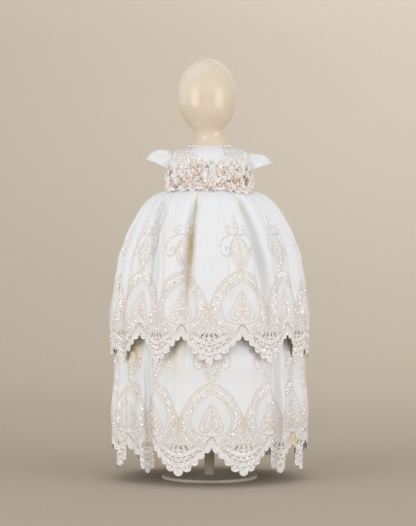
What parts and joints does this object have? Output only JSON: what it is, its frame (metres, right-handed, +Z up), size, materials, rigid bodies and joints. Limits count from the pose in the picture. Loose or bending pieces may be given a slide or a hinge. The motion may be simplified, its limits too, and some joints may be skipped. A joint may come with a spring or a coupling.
{
  "type": "christening gown on a limbless display form",
  "caption": "Two-tier baby christening gown with scalloped lace hems, cap sleeves and a flower belt, on a limbless display form with a round foot.",
  "frame": {"origin": "middle of the underside of the form's round foot, on the surface that the part stands on", "axes": "+Z up, the gown's front faces -Y, the wearer's left side is at +X"},
  "size_m": [0.4394, 0.3769, 0.9225],
  "materials": {
    "white_satin": "satin",
    "beaded_lace": "satin",
    "white_binding": "satin",
    "ivory_petals": "matte",
    "blush_ribbon": "satin",
    "cream_form": "satin",
    "beige_steel": "satin",
    "pearl_button": "gloss"
  },
  "bodies": {
    "root": {"overskirt_front": "white_satin", "overskirt_back": "white_satin", "underskirt_front": "white_satin", "underskirt_back": "white_satin", "bodice_front": "white_satin", "bodice_back_left": "white_satin", "bodice_back_right": "white_satin", "cap_sleeve_left": "white_satin", "cap_sleeve_right": "white_satin", "bodice_lace_front_left": "beaded_lace", "bodice_lace_front_right": "beaded_lace", "bodice_lace_back_left": "beaded_lace", "bodice_lace_back_right": "beaded_lace", "neck_binding": "white_binding", "belt_flower_1": "ivory_petals", "belt_flower_2": "ivory_petals", "belt_flower_4": "ivory_petals", "belt_flower_5": "ivory_petals", "belt_flower_7": "ivory_petals", "belt_flower_3": "blush_ribbon", "belt_flower_6": "blush_ribbon", "belt_flower_8": "blush_ribbon", "belt_flower_9": "blush_ribbon", "belt_band": "blush_ribbon", "belt_knot": "blush_ribbon", "belt_bow_left": "blush_ribbon", "belt_bow_right": "blush_ribbon", "belt_tail_left": "blush_ribbon", "belt_tail_right": "blush_ribbon", "form_body": "cream_form", "form_pole": "beige_steel", "form_foot": "beige_steel", "back_button_1": "pearl_button", "back_button_2": "pearl_button", "back_button_3": "pearl_button"}
  },
  "joints": []
}
